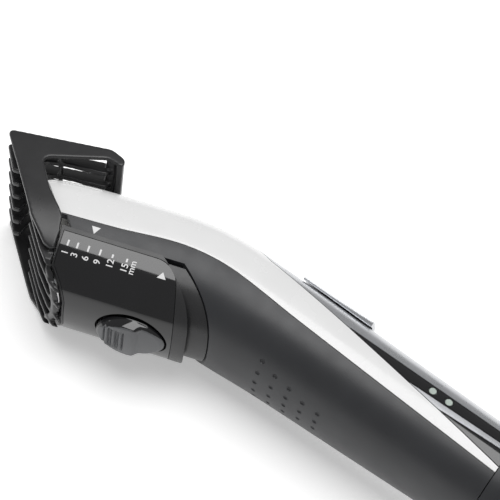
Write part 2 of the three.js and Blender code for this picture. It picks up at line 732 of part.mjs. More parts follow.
// Channel behind the moving blade that the drive cam's pin works in.
function camFollower() {
  const block = box(FOLLOWER_DEPTH, FOLLOWER_DEPTH + 5.6, MOVING_BOTTOM - 0.6, -27.6, -6.6, 6.6);
  return cut(block, box(FOLLOWER_DEPTH + 1.2, FOLLOWER_DEPTH + 9, MOVING_BOTTOM - 4, -20, -3.8, 3.8));
}

function bladeHolder() {
  const [low, rear] = [BLADE_BOTTOM - 0.4, MOVING_DEPTH + 1.9];
  const base = box(MOVING_DEPTH, rear, low, MOVING_BOTTOM - 1.2, -17.2, 17.2);
  const posts = [-16.7, 16.7].map((z) => box(MOVING_DEPTH, rear, low, -26, z - 0.5, z + 0.5));
  const tongues = [-12.4, 12.4].map((z) => box(rear - 1, rear + 5, low, MOVING_BOTTOM - 2.4, z - 3.2, z + 3.2));
  return cut(join(base, ...posts, ...tongues), ...screwHoles(1.1));
}

function bladeScrew(z) {
  const head = rod(BLADE_DEPTH - 0.9, BLADE_DEPTH - GAP, SCREW_Y, z, 1.9, 14);
  const shank = rod(BLADE_DEPTH - 0.6, BLADE_DEPTH + 6, SCREW_Y, z, 0.8, 10);
  const slot = box(BLADE_DEPTH - 2, BLADE_DEPTH - 0.6, SCREW_Y - 1.3, SCREW_Y + 1.3, z - 0.25, z + 0.25);
  return cut(join(head, shank), slot);
}

// ---------------------------------------------------------------- drive and power pieces

function motorCan() {
  const can = rod(MOTOR_FRONT_U, MOTOR_REAR_U, MOTOR_V, 0, MOTOR_RADIUS, 28);
  return join(can, rod(MOTOR_REAR_U - 1, MOTOR_REAR_U + 2, MOTOR_V, 0, 4, 16));
}

function motorMount() {
  const plate = rod(MOTOR_FRONT_U - 2.3, MOTOR_FRONT_U - GAP, MOTOR_V, 0, MOTOR_RADIUS, 28);
  const bars = box(MOTOR_FRONT_U - 2.3, MOTOR_FRONT_U - GAP, MOTOR_V - 8, MOTOR_V, -16.5, 16.5);
  return cut(join(plate, bars), rod(MOTOR_FRONT_U - 4, MOTOR_FRONT_U, MOTOR_V, 0, 3, 16));
}

function motorShaft() {
  return rod(MOTOR_FRONT_U - 5.6, MOTOR_FRONT_U - GAP, MOTOR_V, 0, 1, 24);
}

function driveCam() {
  const rear = MOTOR_FRONT_U - 5.9;
  const disc = rod(rear - 3, rear, MOTOR_V, 0, 4, 20);
  return join(disc, rod(PIN_TIP_U, rear - 1, MOTOR_V + PIN_OFFSET, 0, 1, 12));
}

function batteryCell(z) {
  const profile = [
    [0, 0], [CELL_RADIUS - 0.5, 0], [CELL_RADIUS, 0.5], [CELL_RADIUS, CELL_LENGTH - 1],
    [CELL_RADIUS - 1, CELL_LENGTH], [2.7, CELL_LENGTH], [2.7, CELL_LENGTH + 1.2], [0, CELL_LENGTH + 1.2],
  ];
  const can = new THREE.LatheGeometry(profile.map(([r, h]) => new THREE.Vector2(r, h)), 22);
  return can.rotateZ(-Math.PI / 2).translate(CELL_FRONT, -2.6, z);
}

function batteryContact(x0, x1) {
  return box(x0, x1, -7, 2, -13, 13);
}

function circuitBoard() {
  return box(32, 92, 8.6, 10, -10.5, 10.5);
}

function switchModule() {
  return cut(box(34, 47, 10.3, 14.6, -4, 4), box(36, 46, 12.6, 16, -2.2, 2.2));
}

function motorLead(z) {
  return wire([[4, -1, z], [9, 3, z], [16, 6, z], [24, 7.2, z], [31, 7.4, z]], 0.6);
}

function lengthRack() {
  const base = box(-36, -6, -21.5, -19.9, 2.7, 5);
  const notches = steps(-34, -8, 13).map((u) => box(u - 0.45, u + 0.45, -22, -20.6, 0, 8));
  return cut(base, ...notches);
}

// Leaf spring behind the pawl, in the slot of the neck core.
function lockSpring() {
  const u = BUTTON_CENTRE_U + 2.2;
  return join(box(u, u + 6, -24.4, -24, -1.8, 1.8), box(u, u + 0.4, -24.4, -22.4, -1.8, 1.8));
}

function bladeSpring(z) {
  return box(FOLLOWER_DEPTH, FOLLOWER_DEPTH + 0.4, MOVING_BOTTOM - 0.9, -26, z - 1.2, z + 1.2);
}

function wire(points, radius) {
  const path = new THREE.CatmullRomCurve3(points.map((p) => new THREE.Vector3(...p)));
  const section = new THREE.Shape().absarc(0, 0, radius, 0, 2 * Math.PI);
  const options = { steps: 14, curveSegments: 4, extrudePath: path, bevelEnabled: false };
  return new THREE.ExtrudeGeometry(section, options);
}

// ---------------------------------------------------------------- assembly

const clipper = new THREE.Group();
const design = new THREE.Group();
const neck = new THREE.Group();
const blades = new THREE.Group();
clipper.add(design);
design.add(neck);
neck.add(blades);
neck.rotation.z = BEND_ANGLE;
blades.position.set(COMB_APEX[0], COMB_APEX[1], 0);
blades.rotation.z = BLADE_TILT;

function place(parent, name, geometry, material) {
  const mesh = new THREE.Mesh(indexed(geometry), material);
  mesh.name = name;
  parent.add(mesh);
}

function addHousing() {
  place(design, 'upper_shell', upperShell(), WHITE);
  place(design, 'lower_shell', lowerShell(), GRAPHITE);
  place(neck, 'neck_core', neckCore(), MATTE_BLACK);
  place(design, 'top_panel', topPanel(), SILVER);
  place(design, 'tail_cap', tailCap(), GRAPHITE);
}

function addInlayStrips() {
  const strips = {
    upper_band: [cut(inlayPiece(BAND_TOP, SILVER_TOP), ...lightHoles(1.5)), GLOSS_BLACK],
    silver_line: [inlayPiece(SILVER_TOP, SILVER_BOTTOM), SILVER],
    lower_band: [inlayPiece(SILVER_BOTTOM, null), GLOSS_BLACK],
  };
  for (const [name, [geometry, material]] of Object.entries(strips)) {
    place(design, `${name}_near`, geometry, material);
    place(design, `${name}_far`, mirrored(geometry), material);
  }
}

function addComb() {
  place(neck, 'comb_guard', combGuard(), MATTE_BLACK);
  place(neck, 'slider_frame', sliderFrame(), MATTE_BLACK);
  place(neck, 'slider_panel', sliderPanel(), GLOSS_BLACK);
  place(neck, 'lock_button', lockButton(), BUTTON_GREY);
  place(neck, 'lock_spring', lockSpring(), STEEL);
  place(neck, 'length_rack', lengthRack(), INNER_PLASTIC);
}

function addBlades() {
  place(blades, 'fixed_blade', fixedBlade(), STEEL);
  place(blades, 'moving_blade', movingBlade(), STEEL);
  place(blades, 'cam_follower', camFollower(), INNER_PLASTIC);
  place(blades, 'blade_holder', bladeHolder(), INNER_PLASTIC);
  place(blades, 'blade_screw_near', bladeScrew(SCREW_Z), STEEL);
  place(blades, 'blade_screw_far', bladeScrew(-SCREW_Z), STEEL);
  place(blades, 'blade_spring_near', bladeSpring(10.4), STEEL);
  place(blades, 'blade_spring_far', bladeSpring(-10.4), STEEL);
}

function addDrive() {
  place(neck, 'motor', motorCan(), STEEL);
  place(neck, 'motor_mount', motorMount(), INNER_PLASTIC);
  place(neck, 'motor_shaft', motorShaft(), STEEL);
  place(neck, 'drive_cam', driveCam(), INNER_PLASTIC);
}

function addPower() {
  place(design, 'circuit_board', circuitBoard(), BOARD_GREEN);
  place(design, 'switch_module', switchModule(), BLACK_WIRE);
  place(design, 'power_switch', powerSwitch(), SILVER);
  place(design, 'battery_cell_near', batteryCell(7.5), CELL_BLUE);
  place(design, 'battery_cell_far', batteryCell(-7.5), CELL_BLUE);
  place(design, 'battery_contact_front', batteryContact(CELL_FRONT - 1.1, CELL_FRONT - 0.6), STEEL);
  place(design, 'battery_contact_rear', batteryContact(CELL_REAR + 0.6, CELL_REAR + 1.1), STEEL);
  place(design, 'motor_lead_near', motorLead(3), RED_WIRE);
  place(design, 'motor_lead_far', motorLead(-3), BLACK_WIRE);
  place(design, 'charging_socket', chargingSocket(), MATTE_BLACK);
  place(design, 'socket_pin', socketPin(), STEEL);
  LIGHT_X.forEach((x, i) => {
    place(design, `charge_light_${i + 1}`, lightRod(x, 1.2, 0.1, 3.6), LIGHT_CLEAR);
  });
}

addHousing();
addInlayStrips();
addComb();
addBlades();
addDrive();
addPower();
clipper.position.set(ORIGIN_X, ORIGIN_Y, COMB_HALF_WIDTH);
export default clipper;
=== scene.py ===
"""Looks of a cordless hair clipper with a length comb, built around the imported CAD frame.

Shapes are made in millimetres, in one of two flat working frames that share the clipper's mid plane:
the design frame, whose x axis is the handle's centre line, and the neck frame (u, v), which is the
design frame turned by BEND. place() turns a finished shape into the row frame, in metres.
"""

import math

import bmesh
import bpy
import numpy as np
from mathutils import Matrix, Vector


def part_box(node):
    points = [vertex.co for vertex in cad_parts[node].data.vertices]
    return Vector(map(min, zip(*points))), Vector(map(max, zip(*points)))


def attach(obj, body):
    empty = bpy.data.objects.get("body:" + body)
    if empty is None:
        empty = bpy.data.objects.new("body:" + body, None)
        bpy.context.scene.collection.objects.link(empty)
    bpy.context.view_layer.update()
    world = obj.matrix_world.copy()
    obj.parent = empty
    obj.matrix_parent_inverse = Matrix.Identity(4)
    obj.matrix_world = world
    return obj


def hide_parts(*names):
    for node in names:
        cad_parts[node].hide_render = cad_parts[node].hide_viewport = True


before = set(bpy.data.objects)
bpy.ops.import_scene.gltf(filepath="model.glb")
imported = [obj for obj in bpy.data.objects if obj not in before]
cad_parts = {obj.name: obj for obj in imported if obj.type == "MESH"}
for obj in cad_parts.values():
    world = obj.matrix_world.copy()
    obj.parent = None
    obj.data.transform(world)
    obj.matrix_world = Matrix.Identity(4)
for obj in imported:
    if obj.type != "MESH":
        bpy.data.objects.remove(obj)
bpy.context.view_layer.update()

# ---------------------------------------------------------------- driving dimensions

MM = 0.001
GAP = 0.3
BEND = math.radians(21.2)
BEND_RADIUS = 71
ARC = BEND_RADIUS * BEND
HANDLE_START = BEND_RADIUS * math.tan(BEND / 2)
NOSE, SHELL_END, TAIL_END = -78, 100, 113

# Half sizes of the body along its spine: station, top, bottom and side.
SECTIONS = np.array([
    [NOSE, 9.5, 20.5, 21.2],
    [-75.3, 14.3, 20.6, 21.3],
    [-73.8, 16.1, 20.7, 21.4],
    [-71.8, 17.3, 20.8, 21.5],
    [-64, 18.8, 21.0, 21.8],
    [-50, 19.6, 21.3, 22.0],
    [-26, 19.5, 21.7, 22.0],
    [0, 18.3, 20.8, 21.5],
    [20, 18.0, 19.2, 20.9],
    [60, 17.0, 17.8, 19.3],
    [TAIL_END, 16.1, 15.8, 17.3],
])
TOP_EXPONENT, BOTTOM_EXPONENT = 2.5, 2.15
UPPER_WALL, LOWER_WALL = 2.6, 2.2
INLAY_DEPTH, INLAY_THICKNESS = 1.2, 0.9
SEAM = np.array([[NOSE, -3.9], [-45, -3.4], [-26, -2.0], [0, -2.1], [24, -3.6], [TAIL_END, -7.0]])

# Lines of the top inlay in the design frame: x0, y0, x1, y1.
LEDGE = (16, 11.1, 112, -4.6)
BAND_TOP = (50, 5.9, 112, 6.7)
SILVER_TOP = (70, 1.5, 112, 2.9)
SILVER_BOTTOM = (80, -0.9, 112, 0.9)
INLAY_FRONT = 4

SLIDER_SIDE, SLIDER_BOTTOM, SLIDER_WALL = 22.8, 27.2, 2.1
SLIDER_TOP_V = -8.9
SLIDER_REAR_U, SLIDER_CORNER = 0.9, 15.1
SLIDER_FRONT = [
    (-48.3, SLIDER_TOP_V), (-48.3, -9), (-47.7, -12), (-47.3, -20.6),
    (-43.6, -24.1), (-41.2, -26.6), (-41.1, -30),
]
PANEL_TOP_V, PANEL_REAR_U, PANEL_CORNER, PANEL_THICKNESS = -10.5, -3.0, 9, 0.8
TRAVEL_IN = 6.9

COMB_HALF_WIDTH, COMB_PLATE, COMB_RIB, COMB_TOOTH, COMB_RIBS = 24, 1.6, 1.9, 1.5, 6
COMB_APEX = (-79.7, 22.5)
BLADE_TILT = math.pi / 2 - math.radians(55.7)
NOSE_DEPTH, CORE_DEPTH = 8.6, 11.4
COMB_OUTLINE = [
    (*COMB_APEX, 1.5), (-43.8, 27.0, 5), (-37.8, 24.0, 2.6), (-38.2, 20.9, 0.4),
    (-44, 22.6, 4), (-64.4, 15.2, 2.5), (-57.5, 3.4, 20), (-49.2, -6.2, 8),
    (-48.0, -15, 2), (-48.4, -17.9, 1), (-52, -16.4, 3), (-59, -9.2, 8),
]
FIN_OUTLINE = [
    (-79.5, 21.9, 1), (-45.5, 26.2, 3), (-42, 24, 1), (-44, 21.2, 1.5), (-58, 20.4, 8), (-69.8, 17.4, 3),
    (-71.0, 11.2, 0.8), (-73.6, 11.4, 1),
]
TOOTH_OUTLINE = [
    (-62.4, -2.6, 0.35), (-60.8, -3, 0.4), (-55.5, -9.6, 6), (-50.2, -13.6, 2),
    (-48, -14.8, 0), (-47.7, -20.8, 0), (-44, -24.6, 0), (-41.7, -27, 0),
    (-41.9, -28.4, 0), (-47.6, -23.6, 6), (-53.2, -16.6, 10),
]
FLANGE_OUTLINE = [
    (-48.8, -9.2), (-48.1, -12), (-47.7, -20.8), (-44, -24.6), (-41.6, -27.1), (-41.5, -31),
    (-43, -31), (-43.1, -27.6), (-45.2, -25.6), (-49.3, -21.2), (-49.6, -12), (-50.2, -9.2),
]
REAR_WALL = [
    (-45.2, 26.7, 0.6), (-38.2, 24.2, 2), (-38.1, 21, 0.6),
    (-40.2, 21, 0.6), (-41.6, 23.6, 0.8), (-44.6, 23.4, 0.6),
]
CROSS_BAR = (-60.4, -59.2, 20.2, 22.2)
COMB_VOXEL, COMB_SOFTENING = 0.36, 3

# Button: half sizes, levels of its back and rim, and its finger ribs from its centre.
BUTTON_U, BUTTON_LENGTH, BUTTON_WIDTH = -17.4, 11.6, 7.6
BUTTON_BACK, BUTTON_RIM = -26.5, -27.2
BUTTON_RIBS = (-7.4, -4.9, -2.5)
PAWL_HALF, PAWL_TIP = 1.6, -20.8
PAWL_SLOT = (-33.4, -1.9, -40, -10, -2.6, 2.6)

# Saddle switch: where it starts and how far it reaches along the spine.
SADDLE_START, SADDLE_LENGTH = 14.5, 27.5
LIGHT_X, LIGHT_Y = (84, 90), 4.1

# Grip dimples: place along the handle, count across and pitch of each row.
DIMPLE_ROWS = ((35, 5, 5), (40.8, 4, 5.2), (46.6, 4, 4.4), (52.4, 3, 4.6), (58.2, 3, 4.2))
DIMPLE_RADIUS, DIMPLE_RISE = 1.0, 0.5

# Length scale: value, place along the neck and tick length of each mark.
SCALE = (
    (1, -44.4, 2.0), (3, -41.2, 2.0), (6, -37.5, 2.0),
    (9, -33.5, 2.0), (12, -29.3, 1.2), (15, -24.5, 1.2),
)
TICK_V, ONE_DIGIT_V, TWO_DIGITS_V = -13.9, -16.8, -16.2
PRINT_LIFT = 0.03

# The socket pin ends 2 mm inside the tail, on the handle's centre line, which places the design frame.
PIN_LOW, PIN_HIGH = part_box("socket_pin")
ORIGIN = np.array([
    PIN_HIGH.x / MM - (HANDLE_START + TAIL_END - 2),
    (PIN_LOW.y + PIN_HIGH.y) / 2 / MM,
    (PIN_LOW.z + PIN_HIGH.z) / 2 / MM,
])

# ---------------------------------------------------------------- body surface


def interpolate(stations, s, column=1):
    """Smooth curve through the stations."""
    last = len(stations) - 1
    i = int(np.clip(np.searchsorted(stations[:, 0], s, side="left") - 1, 0, last - 1))
    a, b = stations[i], stations[i + 1]

    def slope(p, q):
        return (q[column] - p[column]) / (q[0] - p[0])

    before = slope(stations[i - 1], b) if i > 0 else slope(a, b)
    after = slope(a, stations[i + 2]) if i < last - 1 else slope(a, b)
    width = b[0] - a[0]
    t = min(max((s - a[0]) / width, 0), 1)
    h00, h10 = 2 * t**3 - 3 * t**2 + 1, t**3 - 2 * t**2 + t
    h01, h11 = 3 * t**2 - 2 * t**3, t**3 - t**2
    return h00 * a[column] + h10 * width * before + h01 * b[column] + h11 * width * after


def spine_at(s):
    """Point and direction of the spine."""
    if s >= 0:
        return HANDLE_START + s, 0.0, 0.0
    if s >= -ARC:
        angle = -s / BEND_RADIUS
        return HANDLE_START - BEND_RADIUS * math.sin(angle), BEND_RADIUS * (math.cos(angle) - 1), angle
    u = s + ARC - HANDLE_START
    return u * math.cos(BEND), u * math.sin(BEND), BEND


def section(phi, top, bottom, side):
    """Rounded section: phi is 0 on top and 90 degrees on the +Z side."""
    c, s = np.cos(phi), np.sin(phi)
    power = 2 / np.where(c > 0, TOP_EXPONENT, BOTTOM_EXPONENT)
    height = np.where(c > 0, top, bottom)
    return np.sign(c) * np.abs(c) ** power * height, np.sign(s) * np.abs(s) ** power * side


def body_ring(s, phi, inset):
    top, bottom, side = (interpolate(SECTIONS, s, column) - inset for column in (1, 2, 3))
    v, z = section(phi, top, bottom, side)
    x, y, angle = spine_at(s)
    return np.stack([x - v * math.sin(angle), y + v * math.cos(angle), z], axis=-1)


def slider_ring(u, phi, inset):
    v, z = section(phi, 20, SLIDER_BOTTOM - inset, SLIDER_SIDE - inset)
    return np.stack([np.full_like(v, u), v, z], axis=-1)


def tail_ring(s, phi, inset):
    t = min(max((s - SHELL_END) / (TAIL_END - SHELL_END), 0), 1)
    shrink = math.sqrt(max(0.0, 1 - (0.86 * t) ** 3.2))
    top, bottom, side = ((interpolate(SECTIONS, s, column) - inset) * shrink for column in (1, 2, 3))
    v, z = section(phi, top, bottom, side)
    return np.stack([np.full_like(v, HANDLE_START + s), v, z], axis=-1)


def degrees(low, high, count):
    return np.radians(np.linspace(low, high, count + 1))


# ---------------------------------------------------------------- meshes


def make(points, faces):
    """A working object, in millimetres, with its faces turned outwards."""
    mesh = bpy.data.meshes.new("work")
    mesh.from_pydata(np.asarray(points, float).tolist(), [], faces)
    bm = bmesh.new()
    bm.from_mesh(mesh)
    bmesh.ops.recalc_face_normals(bm, faces=bm.faces)
    bm.to_mesh(mesh)
    bm.free()
    work = bpy.data.objects.new("work", mesh)
    bpy.context.scene.collection.objects.link(work)
    return work


def slab(ring, stations, phi, outer, inner):
    """Closed slab between two copies of a surface patch."""
    rows, columns = len(stations), len(phi)
    points = np.concatenate([ring(s, phi, inset) for inset in (outer, inner) for s in stations])

    def at(layer, i, j):
        return (layer * rows + i) * columns + j

    faces = []
    for i in range(rows - 1):
        for j in range(columns - 1):
            for layer in (0, 1):
                faces.append((
                    at(layer, i, j), at(layer, i + 1, j), at(layer, i + 1, j + 1), at(layer, i, j + 1),
                ))
    for i in range(rows - 1):
        for j in (0, columns - 1):
            faces.append((at(0, i, j), at(1, i, j), at(1, i + 1, j), at(0, i + 1, j)))
    for j in range(columns - 1):
        for i in (0, rows - 1):
            faces.append((at(0, i, j), at(0, i, j + 1), at(1, i, j + 1), at(1, i, j)))
    return make(points, faces)


def loft(rings):
    """Closed tube through rings of points, with a flat cap at each end."""
    count = len(rings[0])
    faces = []
    for i in range(len(rings) - 1):
        for j in range(count):
            a, b = i * count + j, i * count + (j + 1) % count
            faces.append((a, b, b + count, a + count))
    last = (len(rings) - 1) * count
    faces.append(tuple(range(count)))
    faces.append(tuple(range(last, last + count)))
    return make(np.concatenate(rings), faces)


def prism(points, z0, z1):
    """Outline in the mid plane, drawn out along z."""
    flat = np.array([p[:2] for p in points], float)
    return loft([np.column_stack([flat, np.full(len(flat), z)]) for z in (z0, z1)])


def across(points):
    return prism(points, -40, 40)


def box(x0, x1, y0, y1, z0, z1):
    return prism([(x0, y0), (x1, y0), (x1, y1), (x0, y1)], z0, z1)


def rod(x0, x1, y, z, radius, count=48):
    """Cylinder along x."""
    turn = np.linspace(0, 2 * math.pi, count, endpoint=False)
    y_ring, z_ring = y + radius * np.cos(turn), z + radius * np.sin(turn)
    return loft([np.column_stack([np.full(count, x), y_ring, z_ring]) for x in (x0, x1)])


def ball(centre, radius):
    work = make(np.zeros((0, 3)), [])
    bm = bmesh.new()
    bmesh.ops.create_icosphere(bm, subdivisions=3, radius=radius, matrix=Matrix.Translation(Vector(centre)))
    bm.to_mesh(work.data)
    bm.free()
    return work


def rounded(corners, segments=8):
    """Outline with each corner rounded by its own radius, the corner's third number."""
    points = []
    for i, (x, y, radius) in enumerate(corners):
        here = Vector((x, y))
        if radius == 0:
            points.append((x, y))
            continue
        before = (Vector(corners[i - 1][:2]) - here).normalized()
        after = (Vector(corners[(i + 1) % len(corners)][:2]) - here).normalized()
        half = before.angle(after) / 2
        start = here + before * (radius / math.tan(half))
        end = here + after * (radius / math.tan(half))
        centre = here + (before + after).normalized() * (radius / math.sin(half))
        a0 = math.atan2(start.y - centre.y, start.x - centre.x)
        turn = math.atan2(end.y - centre.y, end.x - centre.x) - a0
        turn = (turn + math.pi) % (2 * math.pi) - math.pi
        for k in range(segments + 1):
            angle = a0 + turn * k / segments
            points.append((centre.x + radius * math.cos(angle), centre.y + radius * math.sin(angle)))
    return points


def bake(work):
    """Applies a working object's modifiers."""
    bpy.context.view_layer.update()
    graph = bpy.context.evaluated_depsgraph_get()
    mesh = bpy.data.meshes.new_from_object(work.evaluated_get(graph))
    work.modifiers.clear()
    work.data = mesh
    return work


def boolean(base, operation, tools):
    for tool in tools:
        step = base.modifiers.new("step", "BOOLEAN")
        step.operation = operation
        step.solver = "MANIFOLD"
        step.object = tool
        bake(base)
        bpy.data.objects.remove(tool)
    return base


def cut(base, *tools):
    return boolean(base, "DIFFERENCE", tools)


def common(base, *tools):
    return boolean(base, "INTERSECT", tools)


def turned(work, angle):
    work.data.transform(Matrix.Rotation(angle, 4, "Z"))
    return work


def mirrored(work):
    copy = bpy.data.objects.new("work", work.data.copy())
    bpy.context.scene.collection.objects.link(copy)
    copy.data.transform(Matrix.Diagonal((1, 1, -1, 1)))
    copy.data.flip_normals()
    return copy


def merged(*works):
    """One object holding all the working objects' meshes."""
    bm = bmesh.new()
    for work in works:
        bm.from_mesh(work.data)
        bpy.data.objects.remove(work)
    whole = make(np.zeros((0, 3)), [])
    bm.to_mesh(whole.data)
    bm.free()
    return whole


def moulded(work):
    """Melts overlapping solids into one skin with softened edges and fillets."""
    remesh = work.modifiers.new("melt", "REMESH")
    remesh.mode = "VOXEL"
    remesh.voxel_size = COMB_VOXEL
    smooth = work.modifiers.new("soften", "SMOOTH")
    smooth.factor = 0.5
    smooth.iterations = COMB_SOFTENING
    return bake(work)


def chamfered(work, width):
    bevel = work.modifiers.new("chamfer", "BEVEL")
    bevel.width = width
    bevel.segments = 2
    bevel.limit_method = "ANGLE"
    bevel.angle_limit = math.radians(50)
    return bake(work)


def place(work, name, body, material, nodes=(), in_neck=False, sharp=32):
    """Turns a working object into a finished piece in the row frame."""
    if in_neck:
        turned(work, BEND)
    work.data.transform(Matrix.Scale(MM, 4) @ Matrix.Translation(Vector(ORIGIN)))
    bm = bmesh.new()
    bm.from_mesh(work.data)
    bmesh.ops.remove_doubles(bm, verts=bm.verts, dist=2e-6)
    bmesh.ops.dissolve_degenerate(bm, edges=bm.edges, dist=1e-6)
    bm.to_mesh(work.data)
    bm.free()
    work.data.polygons.foreach_set("use_smooth", [True] * len(work.data.polygons))
    work.data.set_sharp_from_angle(angle=math.radians(sharp))
    work.name = name
    work.data.name = name
    indices = [polygon.material_index for polygon in work.data.polygons]
    work.data.materials.clear()
    for finish in material if isinstance(material, list) else [material]:
        work.data.materials.append(finish)
    work.data.polygons.foreach_set("material_index", indices)
    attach(work, body)
    if nodes:
        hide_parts(*nodes)
    return work


# ---------------------------------------------------------------- materials


class Shader:
    """A Principled material whose colour, roughness and bump come from noise in object space."""

    def __init__(self, name, **sockets):
        self.material = bpy.data.materials.new(name)
        self.material.use_nodes = True
        self.tree = self.material.node_tree
        self.surface = self.tree.nodes["Principled BSDF"]
        for socket, value in sockets.items():
            self.surface.inputs[socket.replace("_", " ")].default_value = value
        self.place = self.tree.nodes.new("ShaderNodeTexCoord").outputs["Object"]

    def link(self, output, socket):
        self.tree.links.new(output, socket)

    def stretched(self, scale):
        mapping = self.tree.nodes.new("ShaderNodeMapping")
        mapping.inputs["Scale"].default_value = scale
        self.link(self.place, mapping.inputs["Vector"])
        return mapping.outputs["Vector"]

    def noise(self, scale, detail=3.0, vector=None):
        node = self.tree.nodes.new("ShaderNodeTexNoise")
        node.inputs["Scale"].default_value = scale
        node.inputs["Detail"].default_value = detail
        self.link(vector or self.place, node.inputs["Vector"])
        return node.outputs["Fac"]

    def ramp(self, value, low, high, low_at=0.3, high_at=0.7):
        node = self.tree.nodes.new("ShaderNodeValToRGB")
        first, last = node.color_ramp.elements
        first.position, last.position = low_at, high_at
        first.color, last.color = (*low, 1), (*high, 1)
        self.link(value, node.inputs["Fac"])
        return node.outputs["Color"]

    def span(self, value, low, high):
        node = self.tree.nodes.new("ShaderNodeMapRange")
        node.inputs["From Min"].default_value = 0.3
        node.inputs["From Max"].default_value = 0.7
        node.inputs["To Min"].default_value = low
        node.inputs["To Max"].default_value = high
        self.link(value, node.inputs["Value"])
        return node.outputs["Result"]

    def bump(self, height, distance):
        node = self.tree.nodes.new("ShaderNodeBump")
        node.inputs["Strength"].default_value = 1.0
        node.inputs["Distance"].default_value = distance
        self.link(height, node.inputs["Height"])
        self.link(node.outputs["Normal"], self.surface.inputs["Normal"])

    def colour(self, output):
        self.link(output, self.surface.inputs["Base Color"])

    def roughness(self, output):
        self.link(output, self.surface.inputs["Roughness"])


def shaded(base, share):
    return tuple(min(1.0, c * share) for c in base)


def plastic(name, base, rough, grain, depth, spread, **sockets):
    """Moulded plastic: slow colour drift, patchy gloss and a fine moulded grain."""
    shader = Shader(name, **sockets)
    shader.colour(shader.ramp(shader.noise(45), shaded(base, 1 - spread), shaded(base, 1 + spread)))
    shader.roughness(shader.span(shader.noise(140, 4), *rough))
    shader.bump(shader.noise(grain, 2), depth)
    return shader.material


def ground_metal(name, base, rough, stretch, depth):
    """Metal with fine grinding lines along one axis."""
    shader = Shader(name, Metallic=1.0)
    lines = shader.noise(900, 3, shader.stretched(stretch))
    shader.colour(shader.ramp(lines, shaded(base, 0.86), shaded(base, 1.08)))
    shader.roughness(shader.span(shader.noise(300, 3, shader.stretched(stretch)), *rough))
    shader.bump(lines, depth)
    return shader.material


def lacquer(name, base, rough):
    """Silver lacquer: fine metal flakes under a clear coat."""
    shader = Shader(name, Metallic=0.75, Coat_Weight=0.4, Coat_Roughness=0.08)
    flakes = shader.noise(5200, 1)
    shader.colour(shader.ramp(flakes, shaded(base, 0.88), shaded(base, 1.12)))
    shader.roughness(shader.span(shader.noise(120, 3), *rough))
    shader.bump(flakes, 4e-6)
    return shader.material


def circuit_mask(name):
    """Solder mask with the traces showing through as slightly raised lines."""
    shader = Shader(name, Coat_Weight=0.3)
    brick = shader.tree.nodes.new("ShaderNodeTexBrick")
    brick.inputs["Scale"].default_value = 220
    brick.inputs["Mortar Size"].default_value = 0.12
    brick.inputs["Color1"].default_value = (0.012, 0.09, 0.035, 1)
    brick.inputs["Color2"].default_value = (0.01, 0.075, 0.03, 1)
    brick.inputs["Mortar"].default_value = (0.03, 0.17, 0.07, 1)
    shader.link(shader.place, brick.inputs["Vector"])
    shader.colour(brick.outputs["Color"])
    shader.roughness(shader.span(shader.noise(300), 0.3, 0.5))
    shader.bump(brick.outputs["Fac"], 3e-5)
    return shader.material


WHITE = plastic("white_plastic", (0.80, 0.80, 0.80), (0.2, 0.3), 2600, 2e-6, 0.015, Coat_Weight=0.25)
GRAPHITE = plastic("graphite_plastic", (0.026, 0.027, 0.030), (0.36, 0.44), 4200, 2.2e-5, 0.1)
BLACK = plastic("black_plastic", (0.021, 0.021, 0.022), (0.26, 0.34), 3000, 4e-6, 0.12)
GLOSS = plastic("gloss_black_plastic", (0.006, 0.006, 0.007), (0.05, 0.1), 260, 4e-6, 0.2, Coat_Weight=0.5)
GREY = plastic("grey_plastic", (0.10, 0.103, 0.108), (0.3, 0.38), 3600, 8e-6, 0.08)
CREAM = plastic("inner_plastic", (0.68, 0.68, 0.65), (0.4, 0.55), 2400, 8e-6, 0.05)
LENS = plastic("clear_plastic", (0.75, 0.85, 0.78), (0.08, 0.16), 1500, 4e-6, 0.05, Transmission_Weight=0.4)
PRINT = plastic("mark_print", (0.82, 0.82, 0.82), (0.45, 0.6), 5000, 4e-6, 0.06)
SLEEVE = plastic("cell_blue", (0.045, 0.11, 0.27), (0.25, 0.4), 900, 8e-6, 0.15)
RED = plastic("red_insulation", (0.35, 0.015, 0.015), (0.45, 0.6), 2500, 1e-5, 0.12)
RUBBER = plastic("black_insulation", (0.012, 0.012, 0.012), (0.5, 0.65), 2500, 1e-5, 0.2)
SILVER = lacquer("silver_plastic", (0.50, 0.51, 0.53), (0.24, 0.34))
STEEL = ground_metal("steel", (0.58, 0.6, 0.62), (0.22, 0.36), (0.15, 0.15, 2.5), 3e-6)
BOARD = circuit_mask("board_green")

# ---------------------------------------------------------------- cutters shared by the shells


def above_seam(drop):
    edge = []
    for s in np.linspace(NOSE - 4, TAIL_END + 4, 80):
        x, y, angle = spine_at(s)
        v = interpolate(SEAM, s) - drop
        edge.append((x - v * math.sin(angle), y + v * math.cos(angle)))
    return across([*edge, (140, 60), (-110, 60)])


def front_space(depth):
    """The space in front of a slanted plane behind the comb's front line, in the neck frame."""
    lean = math.tan(BLADE_TILT)
    foot = COMB_APEX[0] + COMB_APEX[1] * lean + depth / math.cos(BLADE_TILT)
    return across([(foot - 40 * lean, 40), (-130, 40), (-130, -50), (foot + 50 * lean, -50)])


def on_line(line, x):
    x0, y0, x1, y1 = line
    return y0 + (y1 - y0) * (x - x0) / (x1 - x0)


def inlay_region(margin):
    x0, x1 = LEDGE[0], LEDGE[2] + 20
    front = INLAY_FRONT - margin
    return across(rounded([
        (front, 16, 0), (x0, on_line(LEDGE, x0) - margin, 6), (x1, on_line(LEDGE, x1) - margin, 0),
        (132, 40, 0), (front, 40, 0),
    ]))


def slider_rear(v):
    t = min(max((v + SLIDER_BOTTOM) / (SLIDER_BOTTOM + SLIDER_TOP_V), 0), 1.1)
    return SLIDER_REAR_U - SLIDER_CORNER * t**1.5


